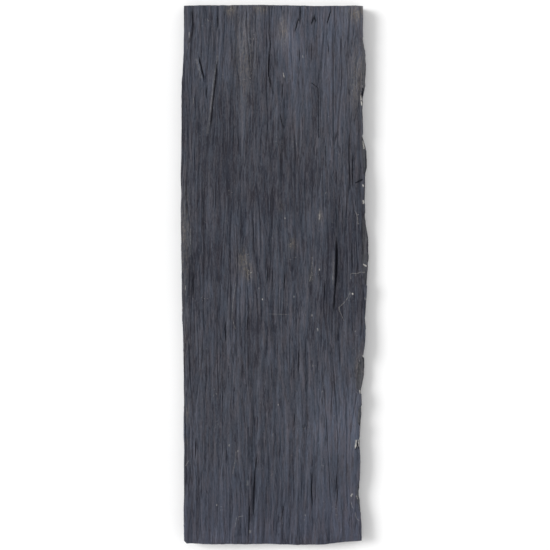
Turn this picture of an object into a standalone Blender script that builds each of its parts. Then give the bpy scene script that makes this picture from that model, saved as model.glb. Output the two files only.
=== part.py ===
"""A riven slate slab, as split from the quarry face and laid flat on its back.

One stone, so one solid. +X runs across the grain, +Y along it, and +Z out of the cleft face.
The origin is under the middle of the slab, in the plane that it rests on. Sizes are in metres.
"""

import math

import bmesh
import bpy
from mathutils import Vector, noise

# ---- Driving dimensions -------------------------------------------------------------------

LENGTH = 1.500  # between the cut ends
WIDTH = 0.500  # nominal; the sides below wander about it
THICKNESS = 0.040  # from the resting plane to the mean level of the cleft face

# ---- Outline, seen from above: (y, x) from the bottom end to the top end ---------------------

# The left side split nearly straight, along the grain.
LEFT_SIDE = (
    (-0.750, -0.2530),
    (-0.650, -0.2545),
    (-0.600, -0.2540),
    (-0.540, -0.2530),
    (-0.440, -0.2545),
    (-0.290, -0.2535),
    (-0.100, -0.2590),
    (0.190, -0.2625),
    (0.300, -0.2620),
    (0.430, -0.2605),
    (0.530, -0.2600),
    (0.620, -0.2540),
    (0.750, -0.2535),
)

# The right side broke away in scallops, so each belly and each cusp has its point.
RIGHT_SIDE = (
    (-0.750, 0.2415),
    (-0.690, 0.2410),
    (-0.600, 0.2350),
    (-0.505, 0.2390),
    (-0.475, 0.2375),
    (-0.425, 0.2380),
    (-0.385, 0.2420),
    (-0.320, 0.2410),
    (-0.275, 0.2510),
    (-0.235, 0.2500),
    (-0.225, 0.2460),
    (-0.200, 0.2500),
    (-0.145, 0.2545),
    (-0.121, 0.2510),
    (-0.065, 0.2560),
    (0.020, 0.2595),
    (0.045, 0.2615),
    (0.105, 0.2615),
    (0.145, 0.2555),
    (0.190, 0.2505),
    (0.285, 0.2530),
    (0.300, 0.2565),
    (0.345, 0.2560),
    (0.390, 0.2450),
    (0.460, 0.2435),
    (0.490, 0.2465),
    (0.525, 0.2530),
    (0.620, 0.2540),
    (0.655, 0.2465),
    (0.750, 0.2455),
)

# The cut ends: (x, how far the stone stands out past LENGTH / 2)
TOP_END = (
    (-0.260, -0.002),
    (-0.090, 0.000),
    (-0.030, -0.001),
    (0.060, -0.0015),
    (0.260, -0.003),
)
BOTTOM_END = (
    (-0.260, -0.005),
    (-0.160, -0.003),
    (-0.060, -0.003),
    (0.070, 0.000),
    (0.130, -0.001),
    (0.190, -0.008),
    (0.260, -0.013),
)
CORNER_CUT = 0.008  # the bottom left corner is knocked off this far each way

# ---- Sides -----------------------------------------------------------------------------------

# Flake scars along the top of the right side: (y of the middle, half length, how far they bite in)
FLAKE_SCARS = (
    (0.575, 0.085, 0.011),
    (0.335, 0.055, 0.012),
    (0.070, 0.100, 0.018),
    (-0.275, 0.050, 0.020),
    (-0.390, 0.030, 0.010),
    (-0.455, 0.022, 0.004),
    (-0.615, 0.045, 0.007),
)
SCAR_DEPTH = 0.30  # a scar reaches this share of the thickness down the side
ARRIS = 0.0015  # how far the top and bottom edges are broken back, on average

# Levels of the sides, as shares of the thickness. A close pair is the ledge between two layers.
LEVELS = (0.0, 0.24, 0.29, 0.62, 0.70, 1.0)
LAMINA_LENGTH = 0.16  # how far a layer runs before it breaks back or stands out again
LEFT_STEP, RIGHT_STEP, END_STEP = 0.0070, 0.0090, 0.0025  # most that a layer stands back

# ---- Relief of the cleft face: heights, then wavelengths across and along the grain ------------

SWELL = (0.0016, 0.30, 0.60)  # long undulation
LEDGES = (0.0060, 0.110, 0.80)  # broad split levels
FLAKES = (0.0030, 0.040, 0.30)  # long flakes
RIDGES = (0.0022, 0.024, 0.20)  # the coarse fibre of the grain
GRAIN_DRIFT = (0.005, 0.45)  # how far the grain wanders sideways, over what length

# A strip that kept its last layer, down the left side
STRIP_LOW, STRIP_HIGH = -0.085, 0.235
STRIP_WIDTH, STRIP_HEIGHT = 0.032, 0.0025

# Splits that opened along the grain: width, depth, and their course down the face as (x, y)
SPLITS = {
    "top_split": (
        0.0055,
        0.0070,
        ((-0.013, 0.765), (-0.015, 0.709), (-0.017, 0.671), (-0.011, 0.642), (-0.017, 0.587),
         (-0.018, 0.553), (-0.006, 0.512), (0.006, 0.478)),
    ),
    "right_split": (
        0.0085,
        0.0110,
        ((0.173, 0.190), (0.170, 0.155), (0.171, 0.120), (0.173, 0.048), (0.170, 0.005),
         (0.168, -0.033), (0.163, -0.100)),
    ),
    "low_split": (
        0.0080,
        0.0085,
        ((-0.050, -0.505), (-0.053, -0.545), (-0.059, -0.598), (-0.061, -0.654), (-0.071, -0.725)),
    ),
    "left_split": (0.0060, 0.0065, ((-0.161, 0.600), (-0.162, 0.560), (-0.165, 0.510), (-0.174, 0.420))),
    "short_split": (0.0060, 0.0070, ((0.105, -0.535), (0.103, -0.560), (0.102, -0.600), (0.105, -0.650))),
    "edge_split": (0.0050, 0.0060, ((0.208, 0.395), (0.205, 0.350), (0.206, 0.290), (0.209, 0.225))),
}
SPLIT_END = 0.2  # how thin a split is at its ends, as a share of its middle

# ---- Back ------------------------------------------------------------------------------------

BACK_HOLLOWS = (0.0110, 0.24, 0.75)  # depth, then wavelengths across and along
BACK_STEP = 0.0028  # the back is flat at levels this far apart, and rests on the lowest

# ---- Mesh ------------------------------------------------------------------------------------

COLUMNS = 56  # quads across the grain
MOST_ROW = 0.034  # no row of quads is longer than this
BORDER = 0.070  # columns and rows this near the outline are drawn to follow it
FLAT_ANGLE = math.radians(0.05)  # faces of the back that meet flatter than this are joined

SLATE = (0.060, 0.063, 0.078, 1.0)
ROUGHNESS = 0.65


def interpolate(points, at):
    """The value at `at` on a line through (position, value) points, level past its ends."""
    if at <= points[0][0]:
        return points[0][1]
    for (low, start), (high, end) in zip(points, points[1:]):
        if at <= high:
            return start + (end - start) * (at - low) / (high - low)
    return points[-1][1]


def smooth(t):
    """0 below 0, 1 above 1, and an S curve between."""
    t = min(max(t, 0.0), 1.0)
    return t * t * (3 - 2 * t)


# ---- Relief ----------------------------------------------------------------------------------


def grain(x, y, across, along, layer):
    """Noise drawn out along the grain, from about -1 to 1. Each layer is a pattern of its own."""
    drift, reach = GRAIN_DRIFT
    x += drift * noise.noise(Vector((x / reach, y / reach, 40.5)))
    return noise.noise(Vector((x / across, y / along + 0.37 * layer, 7.3 * layer)))


def terrace(height, step):
    """A height cut into split levels `step` apart, with steep risers between them."""
    level = math.floor(height / step)
    return step * (level + smooth((height / step - level - 0.35) / 0.30))


def cleft_face(x, y):
    """How far the cleft face stands above THICKNESS at (x, y)."""
    height, across, along = SWELL
    z = height * grain(x, y, across, along, 1)
    height, across, along = LEDGES
    z += terrace(height * grain(x, y, across, along, 2), height / 4)
    height, across, along = FLAKES
    z += terrace(height * grain(x, y, across, along, 3), height / 2)
    height, across, along = RIDGES
    z += height * grain(x, y, across, along, 4)
    inside = smooth((y - STRIP_LOW) / 0.05) * smooth((STRIP_HIGH - y) / 0.05)
    edge = interpolate(LEFT_SIDE, y) + STRIP_WIDTH
    return z + STRIP_HEIGHT * inside * smooth((edge - x) / 0.006)


def back_face(x, y):
    """How far the back stands off the resting plane at (x, y): 0 over most of it."""
    depth, across, along = BACK_HOLLOWS
    return BACK_STEP * max(0, round(depth * grain(x, y, across, along, 9) / BACK_STEP))


# ---- Sides -----------------------------------------------------------------------------------


def flake_scar(y, w):
    """How far a flake scar bites into the right side at y, at the share w of the thickness."""
    bites = (
        bite * math.sqrt(max(0.0, 1 - ((y - middle) / half) ** 2))
        for middle, half, bite in FLAKE_SCARS
    )
    return max(bites) * smooth((w - 1 + SCAR_DEPTH) / SCAR_DEPTH)


def stand_back(side, along, w, step):
    """How far a layer of a side stands back from the outline. `side` tells the four sides apart."""
    if w in (0.0, 1.0):
        return ARRIS * (1 + noise.noise(Vector((along / 0.05, 5 * w, side))))
    layer = sum(w > level for level in LEVELS[1::2])
    return step * abs(noise.noise(Vector((along / LAMINA_LENGTH, 3.7 * layer + 0.5, side))))


def place(u, v, w):
    """The point of the stone at shares u of its width, v of its length and w of its thickness."""
    x, y = WIDTH * (u - 0.5), LENGTH * (v - 0.5)
    left = interpolate(LEFT_SIDE, y) + stand_back(0.5, y, w, LEFT_STEP)
    right = interpolate(RIGHT_SIDE, y) - stand_back(10.5, y, w, RIGHT_STEP) - flake_scar(y, w)
    near_left, near_right = smooth(1 - WIDTH * u / BORDER), smooth(1 - WIDTH * (1 - u) / BORDER)
    x += (left + WIDTH / 2) * near_left + (right - WIDTH / 2) * near_right
    top = interpolate(TOP_END, x) - stand_back(20.5, x, w, END_STEP)
    corner = max(0.0, CORNER_CUT - (x - left))
    bottom = interpolate(BOTTOM_END, x) - stand_back(30.5, x, w, END_STEP) - corner
    near_top, near_bottom = smooth(1 - LENGTH * (1 - v) / BORDER), smooth(1 - LENGTH * v / BORDER)
    y += top * near_top - bottom * near_bottom
    low, high = back_face(x, y), THICKNESS + cleft_face(x, y)
    return Vector((x, y, low + (high - low) * w))


# ---- Solids ----------------------------------------------------------------------------------


def column_shares():
    """Shares of the width where columns meet, drawn towards both sides."""
    shares = [n / COLUMNS for n in range(COLUMNS + 1)]
    return [s - 0.35 * math.sin(2 * math.pi * s) / (2 * math.pi) for s in shares]


def row_shares():
    """Shares of the length where rows meet: each point of the right side, and evenly between."""
    stops = [point[0] / LENGTH + 0.5 for point in RIGHT_SIDE]
    shares = [stops[0]]
    for low, high in zip(stops, stops[1:]):
        rows = math.ceil((high - low) * LENGTH / MOST_ROW)
        shares += [low + (high - low) * n / rows for n in range(1, rows + 1)]
    return shares


def cut_cube(counts):
    """A cube from 0 to 1, its faces cut into counts = (columns, rows, layers) quads."""
    shape = bmesh.new()
    bmesh.ops.create_cube(shape, size=1.0)
    bmesh.ops.translate(shape, verts=shape.verts, vec=(0.5, 0.5, 0.5))
    for axis, count in enumerate(counts):
        along = [e for e in shape.edges if abs(e.verts[0].co[axis] - e.verts[1].co[axis]) > 0.5]
        bmesh.ops.subdivide_edges(shape, edges=along, cuts=count - 1, use_grid_fill=True)
    return shape


def make_stone():
    """The whole stone: a cut cube drawn to its form, with large triangles on the flats of its back."""
    shares = (column_shares(), row_shares(), LEVELS)
    counts = [len(s) - 1 for s in shares]
    shape = cut_cube(counts)
    for vertex in shape.verts:
        u, v, w = (s[round(c * n)] for s, c, n in zip(shares, vertex.co, counts))
        vertex.co = place(u, v, w)
    back = [f for f in shape.faces if f.normal.z < -0.5]
    edges = list({e for f in back for e in f.edges})
    verts = list({v for f in back for v in f.verts})
    flats = bmesh.ops.dissolve_limit(shape, angle_limit=FLAT_ANGLE, verts=verts, edges=edges)
    bmesh.ops.triangulate(shape, faces=flats["region"])
    bmesh.ops.recalc_face_normals(shape, faces=shape.faces)
    return finish_mesh("slab", shape)


def make_split(name, width, depth, course):
    """A wedge along a course on the face, thickest at its middle, for the stone to lose."""
    curve = bpy.data.curves.new(name, "CURVE")
    curve.dimensions = "3D"
    curve.bevel_depth = width / 2
    curve.bevel_resolution = 0
    curve.use_fill_caps = True
    line = curve.splines.new("POLY")
    line.points.add(len(course) - 1)
    for i, (point, (x, y)) in enumerate(zip(line.points, course)):
        point.co = (x, y, 0.0, 1.0)
        middle = math.sin(math.pi * i / (len(course) - 1))
        point.radius = SPLIT_END + (1 - SPLIT_END) * middle
    guide = bpy.data.objects.new(name, curve)
    bpy.context.scene.collection.objects.link(guide)
    graph = bpy.context.evaluated_depsgraph_get()
    mesh = bpy.data.meshes.new_from_object(guide.evaluated_get(graph))
    bpy.data.objects.remove(guide)
    shape = bmesh.new()
    shape.from_mesh(mesh)
    bmesh.ops.remove_doubles(shape, verts=shape.verts, dist=1e-5)
    for vertex in shape.verts:
        x, y, z = vertex.co
        vertex.co.z = THICKNESS + cleft_face(x, y) + z * 2 * depth / width
    bmesh.ops.recalc_face_normals(shape, faces=shape.faces)
    return finish_mesh(name, shape)


def finish_mesh(name, shape):
    """An object that holds a finished bmesh."""
    mesh = bpy.data.meshes.new(name)
    shape.to_mesh(mesh)
    shape.free()
    return bpy.data.objects.new(name, mesh)


def slate():
    material = bpy.data.materials.new("slate")
    material.use_nodes = True
    surface = material.node_tree.nodes["Principled BSDF"]
    surface.inputs["Base Color"].default_value = SLATE
    surface.inputs["Roughness"].default_value = ROUGHNESS
    surface.inputs["Metallic"].default_value = 0.0
    return material


def collection(name):
    made = bpy.data.collections.new(name)
    bpy.context.scene.collection.children.link(made)
    return made


def cut_away(stone, cutter):
    """Takes the cutter's form out of the stone."""
    cutter.hide_render = True
    cutter.display_type = "WIRE"
    cut = stone.modifiers.new(cutter.name, "BOOLEAN")
    cut.operation = "DIFFERENCE"
    cut.solver = "EXACT"
    cut.object = cutter


def main():
    for obj in list(bpy.data.objects):
        bpy.data.objects.remove(obj)
    parts, cutters = collection("slate_slab"), collection("cutters")
    stone = make_stone()
    stone.data.materials.append(slate())
    parts.objects.link(stone)
    for name, (width, depth, course) in SPLITS.items():
        split = make_split(name, width, depth, course)
        cutters.objects.link(split)
        cut_away(stone, split)


main()
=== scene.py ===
import math

import bmesh
import bpy
import numpy as np
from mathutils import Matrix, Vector, noise


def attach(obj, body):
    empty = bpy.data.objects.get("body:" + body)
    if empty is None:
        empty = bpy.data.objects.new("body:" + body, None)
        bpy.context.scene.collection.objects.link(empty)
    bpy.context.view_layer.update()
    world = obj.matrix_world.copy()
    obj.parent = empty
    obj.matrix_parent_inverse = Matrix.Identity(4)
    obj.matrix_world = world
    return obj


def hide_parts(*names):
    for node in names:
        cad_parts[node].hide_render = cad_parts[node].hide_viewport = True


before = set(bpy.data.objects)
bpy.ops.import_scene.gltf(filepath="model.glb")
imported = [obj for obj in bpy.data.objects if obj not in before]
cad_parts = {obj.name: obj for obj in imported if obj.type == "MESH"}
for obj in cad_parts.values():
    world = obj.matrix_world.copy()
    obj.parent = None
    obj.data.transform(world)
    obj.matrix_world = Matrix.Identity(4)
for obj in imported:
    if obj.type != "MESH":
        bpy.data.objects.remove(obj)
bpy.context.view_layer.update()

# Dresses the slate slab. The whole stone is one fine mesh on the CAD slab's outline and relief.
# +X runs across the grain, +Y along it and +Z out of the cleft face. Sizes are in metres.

# ---- Form, as the CAD slab has it ----

LENGTH = 1.500  # between the cut ends
WIDTH = 0.500  # nominal; the sides below wander about it
THICKNESS = 0.040  # from the resting plane to the mean level of the cleft face

# Sides: (y, x)
LEFT_SIDE = (
    (-0.75, -0.253), (-0.65, -0.2545), (-0.6, -0.254), (-0.54, -0.253), (-0.44, -0.2545),
    (-0.29, -0.2535), (-0.1, -0.259), (0.19, -0.2625), (0.3, -0.262), (0.43, -0.2605),
    (0.53, -0.26), (0.62, -0.254), (0.75, -0.2535),
)
RIGHT_SIDE = (
    (-0.75, 0.2415), (-0.69, 0.241), (-0.6, 0.235), (-0.505, 0.239), (-0.475, 0.2375),
    (-0.425, 0.238), (-0.385, 0.242), (-0.32, 0.241), (-0.275, 0.251), (-0.235, 0.25),
    (-0.225, 0.246), (-0.2, 0.25), (-0.145, 0.2545), (-0.121, 0.251), (-0.065, 0.256),
    (0.02, 0.2595), (0.045, 0.2615), (0.105, 0.2615), (0.145, 0.2555), (0.19, 0.2505),
    (0.285, 0.253), (0.3, 0.2565), (0.345, 0.256), (0.39, 0.245), (0.46, 0.2435),
    (0.49, 0.2465), (0.525, 0.253), (0.62, 0.254), (0.655, 0.2465), (0.75, 0.2455),
)
# Ends: (x, how far the stone stands out past LENGTH / 2)
TOP_END = ((-0.26, -0.002), (-0.09, 0.0), (-0.03, -0.001), (0.06, -0.0015), (0.26, -0.003))
BOTTOM_END = (
    (-0.26, -0.005), (-0.16, -0.003), (-0.06, -0.003), (0.07, 0.0),
    (0.13, -0.001), (0.19, -0.008), (0.26, -0.013),
)
CORNER_CUT = 0.008

# Flake scars along the top of the right side: (y of the middle, half length, bite)
FLAKE_SCARS = (
    (0.575, 0.085, 0.011), (0.335, 0.055, 0.012), (0.07, 0.1, 0.018), (-0.275, 0.05, 0.02),
    (-0.39, 0.03, 0.01), (-0.455, 0.022, 0.004), (-0.615, 0.045, 0.007),
)
SCAR_DEPTH = 0.30  # a scar reaches this share of the thickness down the side
SCAR_FULL = 0.004  # a scar is fully grey where it bites in this far
EDGE_NOTCH = (0.503, 0.019, 0.0078)  # a notch in the right side: y of its middle, half length, depth
NOTCH_FLOOR = 0.62  # the share of the thickness that it reaches down to
NOTCH_MARKS = 0.50  # depths in it count as this share less, so that marks, among them its painted shadow, run further down
NOTCH_FULL = 0.006  # they do so fully where the notch bites in this far
ARRIS = 0.0015  # how far the top and bottom edges are broken back, on average
ARRIS_LENGTH = 0.05  # how far along a side that changes
LEVELS = (0.24, 0.62)  # shares of the thickness where one thick layer of a side meets the next
LAMINA_LENGTH = 0.16  # how far a thick layer runs before it breaks back or stands out again
LEFT_STEP, RIGHT_STEP, END_STEP = 0.0040, 0.0060, 0.0020  # most that a thick layer stands back

# Relief: height, wavelengths across and along the grain, and the number of its noise
SWELL = (0.0016, 0.30, 0.60, 1)
LEDGES = (0.0060, 0.110, 0.80, 2)
FLAKES = (0.0030, 0.040, 0.30, 3)
RIDGES = (0.0022, 0.024, 0.20, 4)
LEDGE_LEVELS, FLAKE_LEVELS = 4, 2  # the split levels in the height of each
RISER_START, RISER_LENGTH = 0.35, 0.30  # the share of a level where it starts to rise, and over which
GRAIN_DRIFT = (0.005, 0.45)  # how far the grain wanders sideways, over what length
# A strip that kept its last layer, down the left side
STRIP_LOW, STRIP_HIGH = -0.085, 0.235
STRIP_WIDTH, STRIP_HEIGHT = 0.032, 0.0025
STRIP_END, STRIP_SLOPE = 0.05, 0.006  # how far it takes to rise at its ends and at its edge
BACK_HOLLOWS = (0.0110, 0.24, 0.75, 9)
BACK_RIDGES = (0.0012, 0.030, 0.24, 15)
BACK_STEP = 0.0028  # the back is flat at levels this far apart, and rests on the lowest
BACK_RISER = 0.16  # the share of a level over which it rises

# ---- Finer form, which only this script has ----

# Fine laminae: height, wavelengths across and along, the step they break at, and the noise's number
LAMINAE = (
    (0.0016, 0.0170, 0.300, 0.00060, 11),
    (0.0009, 0.0090, 0.170, 0.00040, 12),
)
FIBRES = (0.00050, 0.0050, 0.080, 14)
# Creases: depth, wavelengths across and along, the share of the noise that they take, and its number
CREASES = (
    (0.0022, 0.0260, 0.320, 0.14, 21),
    (0.0014, 0.0140, 0.200, 0.18, 22),
    (0.0010, 0.0100, 0.120, 0.22, 23),
)
# They come and go by a noise: how much wider it is, its number past theirs, its gain and middle
CREASE_SPREAD, CREASE_SHOWN, CREASE_GAIN, CREASE_MIDDLE = 2.5, 10, 1.4, 0.5

# Splits and cracks along the grain: width, depth, course down the face as (x, y)
CRACKS = (
    # the splits that the CAD slab has too
    (0.0026, 0.0038, ((-0.013, 0.765), (-0.015, 0.709), (-0.017, 0.671), (-0.012, 0.642),
        (-0.017, 0.587), (-0.018, 0.553), (-0.007, 0.512), (0.006, 0.478))),
    (0.003, 0.0055, ((0.171, 0.108), (0.1718, 0.085), (0.1715, 0.048),
        (0.17, 0.005), (0.1675, -0.033), (0.163, -0.1))),
    (0.0078, 0.0082, ((0.1712, 0.096), (0.1716, 0.066), (0.1707, 0.03), (0.1698, 0.0), (0.168, -0.036))),
    (0.0068, 0.0056, ((-0.0545, -0.536), (-0.056, -0.56), (-0.0575, -0.6), (-0.0585, -0.635),
        (-0.0592, -0.666))),
    (0.0032, 0.0046, ((-0.0685, -0.636), (-0.0712, -0.66), (-0.0722, -0.69), (-0.0735, -0.724))),
    (0.003, 0.004, ((-0.05, -0.502), (-0.0525, -0.525), (-0.056, -0.55))),
    (0.003, 0.004, ((-0.1606, 0.585), (-0.1673, 0.516), (-0.1715, 0.475), (-0.178, 0.4))),
    (0.0036, 0.005, ((0.105, -0.545), (0.103, -0.56), (0.102, -0.6), (0.105, -0.64))),
    (0.0034, 0.0052, ((0.207, 0.395), (0.205, 0.35), (0.206, 0.29), (0.208, 0.235))),
    # finer ones
    (0.003, 0.004, ((-0.23, 0.735), (-0.227, 0.69), (-0.23, 0.655))),
    (0.0032, 0.0045, ((-0.211, 0.6), (-0.204, 0.575), (-0.196, 0.542))),
    (0.003, 0.0034, ((0.0711, 0.765), (0.0704, 0.722), (0.069, 0.685))),
    (0.003, 0.0034, ((0.0675, 0.716), (0.0638, 0.706), (0.055, 0.672))),
    (0.003, 0.0034, ((0.1085, 0.722), (0.1005, 0.692))),
    (0.003, 0.0034, ((0.109, 0.722), (0.114, 0.698))),
    (0.003, 0.0034, ((0.158, 0.738), (0.1528, 0.727), (0.144, 0.692))),
    (0.0026, 0.0035, ((0.147, 0.652), (0.149, 0.612))),
    (0.0026, 0.003, ((0.0686, 0.626), (0.0686, 0.59))),
    (0.0026, 0.003, ((0.101, 0.646), (0.102, 0.584))),
    (0.0028, 0.0035, ((0.0208, 0.534), (0.0208, 0.486))),
    (0.0032, 0.004, ((0.014, 0.448), (0.018, 0.43), (0.023, 0.406))),
    (0.0028, 0.0035, ((-0.158, 0.716), (-0.158, 0.68))),
    (0.0032, 0.0035, ((-0.19, 0.52), (-0.1895, 0.488))),
    (0.003, 0.004, ((0.2155, 0.345), (0.2155, 0.24))),
    (0.0032, 0.004, ((-0.136, -0.13), (-0.138, -0.15), (-0.135, -0.185))),
    (0.003, 0.0035, ((-0.075, -0.114), (-0.076, -0.152))),
    (0.003, 0.0035, ((0.028, 0.01), (0.026, -0.044))),
    (0.0028, 0.0035, ((-0.02, 0.028), (-0.021, -0.024))),
    (0.0032, 0.004, ((0.067, -0.205), (0.065, -0.278))),
    (0.003, 0.0035, ((-0.219, -0.452), (-0.22, -0.508))),
    (0.003, 0.0035, ((0.026, -0.632), (0.018, -0.68))),
    (0.0028, 0.0035, ((0.055, -0.384), (0.053, -0.424))),
    (0.0028, 0.0035, ((0.213, 0.095), (0.214, 0.01))),
    (0.0032, 0.0045, ((-0.2265, 0.02), (-0.2265, -0.065))),
    (0.003, 0.0036, ((0.1716, -0.552), (0.1706, -0.572), (0.17, -0.59), (0.1694, -0.604))),
    (0.0028, 0.0034, ((0.1705, 0.188), (0.17, 0.15), (0.1706, 0.116))),
    (0.0026, 0.0032, ((0.1885, 0.192), (0.189, 0.15), (0.1885, 0.114))),
    (0.0028, 0.0034, ((0.1375, -0.02), (0.137, -0.045), (0.137, -0.072))),
)
CRACK_END = 0.15  # how wide a crack is at its ends, as a share of its middle
CRACK_CURVE = 0.7  # the power that rounds its ends and its walls
CRACK_RAGGED = 0.55  # how much its width changes on its way
CRACK_LENGTH = 0.021  # how far along it that changes
CORE_WIDTH = 0.30  # half the width of its black core, painted shade on the crack's floor, as a share of its width
CORE_DARK = 0.014  # the depth at which the core is fully black

# Flakes with a lifted lip on the left of a drop: lip height, how far the lip runs, course
LIPS = (
    (0.0044, 0.009, ((-0.215, 0.618), (-0.206, 0.578), (-0.1985, 0.545), (-0.194, 0.52))),
    (0.0036, 0.008, ((-0.156, 0.62), (-0.164, 0.565), (-0.17, 0.516), (-0.1745, 0.475),
        (-0.186, 0.37))),
    (0.0022, 0.014, ((-0.02, 0.64), (-0.019, 0.56), (-0.008, 0.505))),
    (0.0035, 0.01, ((0.166, 0.11), (0.1665, 0.05), (0.164, -0.04), (0.159, -0.12))),
    (0.003, 0.009, ((-0.232, 0.75), (-0.229, 0.7), (-0.236, 0.655), (-0.245, 0.62))),
)
LIP_END = 0.25  # the share of a lip's length over which it rises at each end

COLUMNS = 340
ROWS = 200
SPREAD = 0.35  # how much closer the columns stand at the sides than in the middle
BORDER = 0.070  # columns and rows this near the outline are drawn to follow it
FIXED_COLUMNS = 3  # this many columns at each side are never moved onto a crack
END_EVERY = 2  # the sides have one vertex for this many along the ends of the face
BACK_EVERY = 4  # the back has one quad for this many each way on the face
EDGE_DROP = 0.0009  # how far the arris is worn down, on average
EDGE_LENGTH = 0.02  # how far along it that changes
SIDE_LAMINAE = (0.06, 0.15, 0.24, 0.33, 0.43, 0.53, 0.62, 0.70, 0.77, 0.83, 0.88, 0.93, 0.97)
LEDGE = 0.006  # half the share of the thickness over which one lamina steps to the next
# How a thin lamina stands back: most, over what length, and where its noise is read
CHIPS = (0.0032, 0.040, 2.7, 60.5)
FINE_CHIPS = (0.0008, 0.012, 1.9, 61.5)
LONG_CHIPS = (0.0030, 0.25, 3.1, 62.5)
CHIP_LEVELS, CHIP_GAIN = 3, 1.6  # how many levels the first of them break at, and its noise's gain
SHARP_ANGLE = math.radians(50)

# Where the other noises are read, and how far apart. Each number gives a pattern of its own.
LEFT, RIGHT, TOP, BOTTOM = 0.5, 10.5, 20.5, 30.5  # the four sides
GRAIN_SHIFT, GRAIN_GAP = 0.37, 7.3
LAYER_START, LAYER_GAP, ARRIS_GAP, CRACK_GAP = 0.5, 3.7, 5, 97
DRIFT_NOISE, CRACK_NOISE, EDGE_NOISE = 40.5, 3.3, 70.5

# How deep a hollow counts as a full crevice, and over how many columns it is measured. The material paints
# shade into these hollows and light onto the ridges between them
CREVICES = ((0.0005, 5), (0.0012, 13))
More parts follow.
